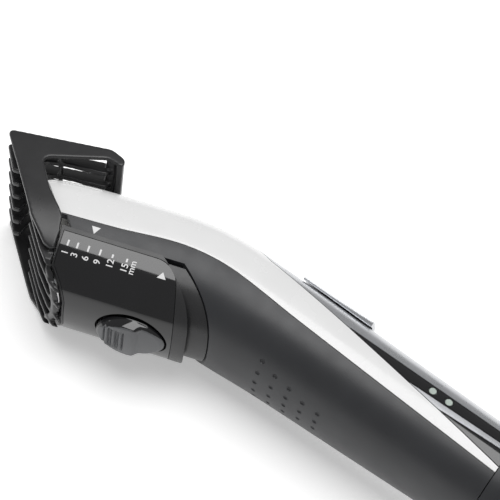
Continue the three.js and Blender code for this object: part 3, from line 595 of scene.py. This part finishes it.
def slider_bay():
    top = SLIDER_TOP_V + 0.35
    edge = [(slider_rear(v) + TRAVEL_IN + 0.9, v) for v in np.linspace(-34, top, 40)]
    return across([(-90, -40), (edge[0][0], -40), *edge, (-44.7, top), (-48.4, top + 4.3), (-90, top + 4.3)])


def switch_slot():
    return box(34, 48, 8, 30, -3.5, 3.5)


def light_rod(x, radius, outer, inner):
    """Short rod across the side wall at a charge light."""
    s = x - HANDLE_START
    top, side = interpolate(SECTIONS, s, 1), interpolate(SECTIONS, s, 3)
    z = side * (1 - (LIGHT_Y / top) ** TOP_EXPONENT) ** (1 / TOP_EXPONENT)
    turn = np.linspace(0, 2 * math.pi, 40, endpoint=False)
    outline = np.column_stack([x + radius * np.cos(turn), LIGHT_Y + radius * np.sin(turn)])
    return prism(outline, z - inner, z - outer)


def light_holes():
    return [light_rod(x, 1.5, -2, 4) for x in LIGHT_X]


def dimple_balls():
    """Rows of small round dimples that narrow towards the tail."""
    balls = []
    for x, count, pitch in DIMPLE_ROWS:
        s = x - HANDLE_START
        bottom, side = interpolate(SECTIONS, s, 2), interpolate(SECTIONS, s, 3)
        for k in range(count):
            z = (k - (count - 1) / 2) * pitch
            y = -bottom * (1 - abs(z / side) ** BOTTOM_EXPONENT) ** (1 / BOTTOM_EXPONENT)
            balls.append(ball((x, y - DIMPLE_RISE, z), DIMPLE_RADIUS))
    return balls


# ---------------------------------------------------------------- housing


def spaced(low, high, step):
    return np.linspace(low, high, max(2, round((high - low) / step)) + 1)


def upper_shell():
    skin = slab(body_ring, spaced(NOSE, SHELL_END, 1.2), degrees(-117, 117, 150), 0, UPPER_WALL)
    recess = slab(body_ring, spaced(-14, SHELL_END + 2, 1.2), degrees(-112, 112, 140), -2, INLAY_DEPTH)
    common(recess, inlay_region(0))
    common(skin, above_seam(0))
    cut(skin, turned(front_space(NOSE_DEPTH), BEND), recess, switch_slot(), *light_holes())
    return place(skin, "white_shell", "housing", WHITE, ["upper_shell"])


def lower_shell():
    skin = slab(body_ring, spaced(NOSE, SHELL_END, 1.2), degrees(84, 276, 140), 0, LOWER_WALL)
    front, bay = turned(front_space(NOSE_DEPTH), BEND), turned(slider_bay(), BEND)
    cut(skin, above_seam(GAP), front, bay, *dimple_balls())
    return place(skin, "graphite_shell", "housing", GRAPHITE, ["lower_shell"])


def neck_core():
    inset = SLIDER_WALL + 0.5
    skin = slab(slider_ring, spaced(-62, 14, 2), degrees(102, 258, 90), inset, inset + 2)
    rear = SLIDER_REAR_U + TRAVEL_IN + 1.6
    low = SLIDER_TOP_V - 0.5
    common(skin, across([(-62, -40), (rear, -40), (rear - 3, low), (-62, low)]))
    shell = slab(body_ring, spaced(-44, 40, 2), degrees(80, 280, 100), -12, LOWER_WALL + GAP)
    bay = slider_bay()
    bay.data.transform(Matrix.Translation((-GAP, 0, 0)))
    cut(turned(shell, -BEND), bay)
    cut(skin, front_space(CORE_DEPTH), box(*PAWL_SLOT), shell)
    return place(skin, "neck_sleeve", "housing", BLACK, ["neck_core"], in_neck=True)


def inlay(upper, lower):
    """Piece of the top inlay between two lines, over the near half unless it is the top panel."""
    skin = slab(body_ring, spaced(-14, SHELL_END, 1.2), degrees(-110, 110, 150), 0, INLAY_THICKNESS)
    common(skin, inlay_region(-GAP))
    front, rear = -20, 132
    low = [(x, on_line(lower, x) if lower else -30) for x in (front, rear)]
    if upper is None:
        return common(skin, across([*low, (rear, 60), (front, 60)]))
    high = [(x, on_line(upper, x) - GAP) for x in (rear, front)]
    return common(skin, prism([*low, *high], 0.5, 40))


def inlays():
    panel = cut(inlay(None, BAND_TOP), switch_slot())
    place(panel, "silver_panel", "housing", SILVER, ["top_panel"])
    strips = (
        ("upper_band", BAND_TOP, SILVER_TOP, GLOSS, "gloss_black_plastic"),
        ("silver_line", SILVER_TOP, SILVER_BOTTOM, SILVER, "silver_plastic"),
        ("lower_band", SILVER_BOTTOM, None, GLOSS, "gloss_black_plastic"),
    )
    for name, upper, lower, material, slot in strips:
        strip = inlay(upper, lower)
        if name == "upper_band":
            cut(strip, *light_holes())
        far = mirrored(strip)
        place(strip, f"{name}_near_skin", "housing", material, [f"{name}_near"])
        place(far, f"{name}_far_skin", "housing", material, [f"{name}_far"])


def tail():
    phi = np.linspace(0, 2 * math.pi, 144, endpoint=False)
    spread = 1 - (1 - np.linspace(0, 1, 26)) ** 1.6
    along = SHELL_END + GAP + spread * (TAIL_END - SHELL_END - GAP)
    cap = loft([tail_ring(s, phi, 0) for s in along])
    hollow = loft([tail_ring(s, phi, 3) for s in (SHELL_END - 2, SHELL_END + 4, SHELL_END + 9.5)])
    end = HANDLE_START + TAIL_END
    cut(cap, hollow, rod(end - 12, end + 5, 0, 0, 3.6, 96))
    return place(cap, "tail_end", "housing", GRAPHITE, ["tail_cap"])


# ---------------------------------------------------------------- power switch


def saddle_ring(s, phi, layer):
    """The saddle stands on the top panel, swells towards its rear end and thins out to its rim."""
    t = (s - SADDLE_START) / SADDLE_LENGTH
    lift = (0.9 + 0.9 * t**2) * layer + 0.45
    return body_ring(s, phi, -lift)


def power_switch():
    saddle = slab(saddle_ring, SADDLE_START + np.linspace(0, SADDLE_LENGTH, 40), degrees(-46, 46, 80), 1, 0)
    chamfered(saddle, 0.5)
    stem = merged(box(38, 44, 15, 18.7, -2.6, 2.6), box(39.5, 42.5, 13.2, 17, -1.6, 1.6))
    return place(merged(saddle, stem), "saddle_switch", "switch", SILVER, ["power_switch"])


# ---------------------------------------------------------------- slider, panel and button


def slider_outline(margin):
    rear = [(slider_rear(v) - margin, v) for v in np.linspace(-30, SLIDER_TOP_V, 40)]
    return across([*[(u + margin, v) for u, v in SLIDER_FRONT], *rear])


def panel_outline(margin):
    top = PANEL_TOP_V - margin
    front = [(u + 0.7 + margin, v, 0) for u, v in SLIDER_FRONT[3:]]
    return across(rounded([
        (SLIDER_FRONT[2][0] + 0.7 + margin, top, 0), *front, (PANEL_REAR_U - margin, -30, 0),
        (PANEL_REAR_U - 6 - margin, top, PANEL_CORNER),
    ], 16))


def button_well():
    turn = np.linspace(0, 2 * math.pi, 96, endpoint=False)
    u = BUTTON_U + (BUTTON_LENGTH + 0.7) * np.cos(turn)
    z = (BUTTON_WIDTH + 0.7) * np.sin(turn)
    return loft([np.column_stack([u, np.full(len(u), v), z]) for v in (-40, -10)])


def slider_skin(outer, inner):
    return slab(slider_ring, spaced(-52, 4, 1), degrees(96, 264, 160), outer, inner)


def slider():
    body = common(slider_skin(0, SLIDER_WALL), slider_outline(0))
    recess = common(slider_skin(-2, PANEL_THICKNESS + 0.25), panel_outline(-0.2))
    cut(body, recess, button_well())
    place(body, "slider_body", "comb", BLACK, ["slider_frame"], in_neck=True)
    panel = common(slider_skin(0, PANEL_THICKNESS), panel_outline(0), slider_outline(0.1))
    cut(panel, button_well())
    place(panel, "slider_skin", "comb", GLOSS, ["slider_panel"], in_neck=True)


def button_height(u, z, share):
    """Level of the button's face under its rim: a high front, a step and a low rear, with three grooves."""
    step = 1 / (1 + np.exp(-(u - BUTTON_U - 2.6) / 0.35))
    level = 3.9 - 1.7 * step - 0.012 * (u - BUTTON_U) ** 2 - 0.012 * z**2
    edge = np.clip((1 - share) / 0.14, 0, 1)
    level = level * np.sqrt(1 - (1 - edge) ** 2)
    for rib in BUTTON_RIBS:
        away = np.abs(u - BUTTON_U - rib)
        relief = 0.3 * np.exp(-((away / 0.4) ** 2)) - 0.6 * np.exp(-(((away - 0.8) / 0.3) ** 2))
        level = level + relief / (1 + np.exp((np.abs(z) - 4.7) / 0.2))
    return level


def button_edge(share):
    """Ellipse at a share of the button's outline, as positions u and z."""
    turn = np.linspace(0, 2 * math.pi, 128, endpoint=False)
    return BUTTON_U + BUTTON_LENGTH * share * np.cos(turn), BUTTON_WIDTH * share * np.sin(turn)


def lock_button():
    u, z = button_edge(1)
    rings = [np.column_stack([u, np.full(len(u), v), z]) for v in (BUTTON_BACK, BUTTON_RIM)]
    shares = 1 - np.linspace(0, 1, 60) ** 1.5 * 0.995
    for share in shares[1:]:
        u, z = button_edge(share)
        rings.append(np.column_stack([u, BUTTON_RIM - button_height(u, z, share), z]))
    face = loft(rings)
    for finish in (GREY, GLOSS):
        face.data.materials.append(finish)
    for polygon in face.data.polygons:
        centre = polygon.center
        reach = ((centre.x - BUTTON_U) / BUTTON_LENGTH) ** 2 + (centre.z / BUTTON_WIDTH) ** 2
        steep = abs(polygon.normal.y) < 0.72 and centre.y > BUTTON_RIM - 3
        polygon.material_index = 1 if steep and reach > 0.72 else 0
    pawl = box(BUTTON_U - PAWL_HALF, BUTTON_U + PAWL_HALF, -27, PAWL_TIP, -1.7, 1.7)
    whole = merged(face, chamfered(pawl, 0.3))
    return place(
        whole, "button_cap", "button", [GREY, GLOSS], ["lock_button"], in_neck=True, sharp=50,
    )


# ---------------------------------------------------------------- comb


def rib_heights():
    span = 2 * COMB_HALF_WIDTH - COMB_PLATE
    return [span / 2 - span * i / (COMB_RIBS + 1) for i in range(1, COMB_RIBS + 1)]


def slider_section(inset):
    """Prism along the neck with the slider's rounded section below its middle."""
    arc = slider_ring(0, degrees(90, 270, 90), inset)[:, 1:]
    outline = [*arc, (40, -COMB_HALF_WIDTH), (40, COMB_HALF_WIDTH)]
    return loft([np.array([(u, v, z) for v, z in outline]) for u in (-90, -30)])


def comb_side():
    outline = rounded(COMB_OUTLINE, 12)
    plate = common(prism(outline, COMB_HALF_WIDTH - COMB_PLATE, COMB_HALF_WIDTH), slider_section(-1.2))
    arm = slab(slider_ring, spaced(-90, -36, 2), degrees(92, 140, 40), -1.2, 0.4)
    return [plate, common(arm, prism(outline, 0, 30))]


def comb():
    sides = comb_side()
    parts = [*sides, *[mirrored(side) for side in sides]]
    for z in rib_heights():
        parts.append(prism(rounded(FIN_OUTLINE), z - COMB_RIB / 2, z + COMB_RIB / 2))
        tooth = prism(rounded(TOOTH_OUTLINE), z - COMB_TOOTH / 2, z + COMB_TOOTH / 2)
        parts.append(common(tooth, slider_section(-1)))
    inner = COMB_HALF_WIDTH - 0.4
    parts.append(prism(rounded(REAR_WALL), -inner, inner))
    parts.append(box(*CROSS_BAR, -inner, inner))
    width = COMB_HALF_WIDTH - 0.2
    flush = slab(slider_ring, spaced(-60, -36, 1), degrees(102, 126, 30), -1.2, 2.4)
    deep = slab(slider_ring, spaced(-60, -36, 1), degrees(102, 258, 120), 0.9, 2.4)
    for flange in (deep, mirrored(flush), flush):
        parts.append(common(flange, across(FLANGE_OUTLINE), box(-60, -30, -40, -9.2, -width, width)))
    whole = moulded(merged(*parts))
    return place(whole, "comb_body", "comb", BLACK, ["comb_guard"], in_neck=True, sharp=60)


# ---------------------------------------------------------------- printed marks


def wrapped(flat, ring, centre_u, centre_v, name, body):
    """Bends a flat mark, whose x runs up the side and whose y runs to the head, onto the surface."""
    phi = degrees(90, 180, 900)
    points = ring(centre_u, phi, -PRINT_LIFT)
    length = np.concatenate([[0], np.cumsum(np.linalg.norm(np.diff(points, axis=0), axis=1))])
    start = np.interp(-centre_v, -points[:, 1], length)
    for vertex in flat.data.vertices:
        x, y, lift = vertex.co
        angle = np.interp(start - x, length, phi)
        vertex.co = ring(centre_u - y, np.array([angle]), -PRINT_LIFT - lift)[0]
    return place(flat, name, body, PRINT, in_neck=True)


def flat_outline(points):
    """Thin flat mark, cut into small strips so that it can bend."""
    mark = prism(points, 0, 0.04)
    bm = bmesh.new()
    bm.from_mesh(mark.data)
    bmesh.ops.triangulate(bm, faces=bm.faces)
    bmesh.ops.subdivide_edges(bm, edges=bm.edges, cuts=3, use_grid_fill=True)
    bm.to_mesh(mark.data)
    bm.free()
    return mark


def lettering(text, size):
    curve = bpy.data.curves.new("text", "FONT")
    curve.body = text
    curve.size = size
    curve.offset = 0.035
    curve.extrude = 0.02
    curve.align_x = "CENTER"
    curve.align_y = "CENTER"
    source = bpy.data.objects.new("text", curve)
    bpy.context.scene.collection.objects.link(source)
    graph = bpy.context.evaluated_depsgraph_get()
    letters = bpy.data.meshes.new_from_object(source.evaluated_get(graph))
    bpy.data.objects.remove(source)
    mark = make(np.zeros((0, 3)), [])
    mark.data = letters
    mark.data.materials.clear()
    return mark


def scale_marks():
    for value, u, length in SCALE:
        end = length / 2
        tick = flat_outline([(-end, -0.3), (end, -0.3), (end, 0.3), (-end, 0.3)])
        wrapped(tick, slider_ring, u, TICK_V, f"tick_{value}", "comb")
        centre = ONE_DIGIT_V if value < 10 else TWO_DIGITS_V
        wrapped(lettering(str(value), 3.1), slider_ring, u, centre, f"number_{value}", "comb")
    wrapped(lettering("mm", 3.0), slider_ring, -22.2, -15.5, "unit_mark", "comb")
    arrow = flat_outline([(-1.1, -1.5), (1.1, 0), (-1.1, 1.5)])
    wrapped(arrow, slider_ring, -12.2, -15.1, "lock_arrow", "comb")


def neck_ring(u, phi, inset):
    ring = body_ring(u - ARC + HANDLE_START, phi, inset)
    c, s = math.cos(BEND), math.sin(BEND)
    return np.stack([ring[:, 0] * c + ring[:, 1] * s, ring[:, 1] * c - ring[:, 0] * s, ring[:, 2]], axis=-1)


def index_arrow():
    arrow = flat_outline([(1.3, -1.5), (-1.3, 0), (1.3, 1.5)])
    wrapped(arrow, neck_ring, -37.9, -6.7, "index_arrow", "housing")


# ---------------------------------------------------------------- carried-over nodes


def carried_over():
    """Inner CAD nodes stay, with a finish and softened edges."""
    finishes = {
        STEEL: ["fixed_blade", "moving_blade", "blade_screw_near", "blade_screw_far", "blade_spring_near",
                "blade_spring_far", "motor", "motor_shaft", "battery_contact_front", "battery_contact_rear",
                "socket_pin", "lock_spring"],
        CREAM: ["cam_follower", "blade_holder", "motor_mount", "drive_cam", "length_rack"],
        BOARD: ["circuit_board"],
        RUBBER: ["switch_module", "motor_lead_far"],
        RED: ["motor_lead_near"],
        SLEEVE: ["battery_cell_near", "battery_cell_far"],
        BLACK: ["charging_socket"],
        LENS: ["charge_light_1", "charge_light_2"],
    }
    for material, names in finishes.items():
        for name in names:
            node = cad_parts[name]
            node.data.materials.clear()
            node.data.materials.append(material)
            soften = node.modifiers.new("soften", "BEVEL")
            soften.width = 0.08 * MM
            soften.segments = 2
            soften.limit_method = "ANGLE"
            soften.angle_limit = math.radians(40)


# ---------------------------------------------------------------- camera, floor and lights

VIEW_TARGET = ORIGIN + np.array([1.2, 24.05, 0])
VIEW_OFFSET = np.array([131.3, -257.7, 344.7])
VIEW_RIGHT, VIEW_UP = Vector((0.7955, 0.5899, 0.1380)), Vector((-0.5310, 0.5691, 0.6278))
VIEW_LENS = 93.0
FLOOR_HALF, FLOOR_LEVEL = 4000, -0.2
WORLD_STRENGTH = 0.3

# Area lights: name, place, target, size and power, in metres and watts.
LIGHTS = (
    ("overhead", (-0.05, 0.11, 0.85), (-0.05, 0.11, 0), (0.6, 0.78), 5.6),
    ("side", (-0.9, 0.1, 0.35), (0, 0, 0.02), (0.3, 0.3), 0.8),
)


def camera():
    data = bpy.data.cameras.new("camera")
    data.lens = VIEW_LENS
    view = bpy.data.objects.new("camera", data)
    bpy.context.scene.collection.objects.link(view)
    back = VIEW_RIGHT.cross(VIEW_UP).normalized()
    turn = Matrix((VIEW_RIGHT, VIEW_UP, back)).transposed()
    view.matrix_world = Matrix.Translation(Vector((VIEW_TARGET + VIEW_OFFSET) * MM)) @ turn.to_4x4()
    bpy.context.scene.camera = view


def floor():
    shader = Shader("floor_paint", Roughness=0.9, Emission_Color=(1, 1, 1, 1), Emission_Strength=0.35)
    shader.colour(shader.ramp(shader.noise(6), (0.93, 0.93, 0.93), (0.95, 0.95, 0.95)))
    signs = ((-1, -1), (1, -1), (1, 1), (-1, 1))
    ground = make([(x * FLOOR_HALF, y * FLOOR_HALF, FLOOR_LEVEL) for x, y in signs], [(0, 1, 2, 3)])
    ground.data.transform(Matrix.Scale(MM, 4))
    ground.data.materials.append(shader.material)
    ground.name = "floor"


def area_light(name, position, target, size, power):
    data = bpy.data.lights.new(name, "AREA")
    data.shape = "RECTANGLE"
    data.size, data.size_y = size
    data.energy = power
    lamp = bpy.data.objects.new(name, data)
    bpy.context.scene.collection.objects.link(lamp)
    lamp.location = position
    lamp.rotation_mode = "QUATERNION"
    lamp.rotation_quaternion = (Vector(target) - Vector(position)).to_track_quat("-Z", "Y")


def lights():
    world = bpy.data.worlds.new("studio")
    world.use_nodes = True
    background = world.node_tree.nodes["Background"].inputs
    background["Color"].default_value = (1, 1, 1, 1)
    background["Strength"].default_value = WORLD_STRENGTH
    bpy.context.scene.world = world
    for light in LIGHTS:
        area_light(*light)


upper_shell()
lower_shell()
neck_core()
inlays()
tail()
power_switch()
slider()
lock_button()
comb()
scale_marks()
index_arrow()
carried_over()
camera()
floor()
lights()
bpy.context.scene.view_settings.view_transform = "Standard"
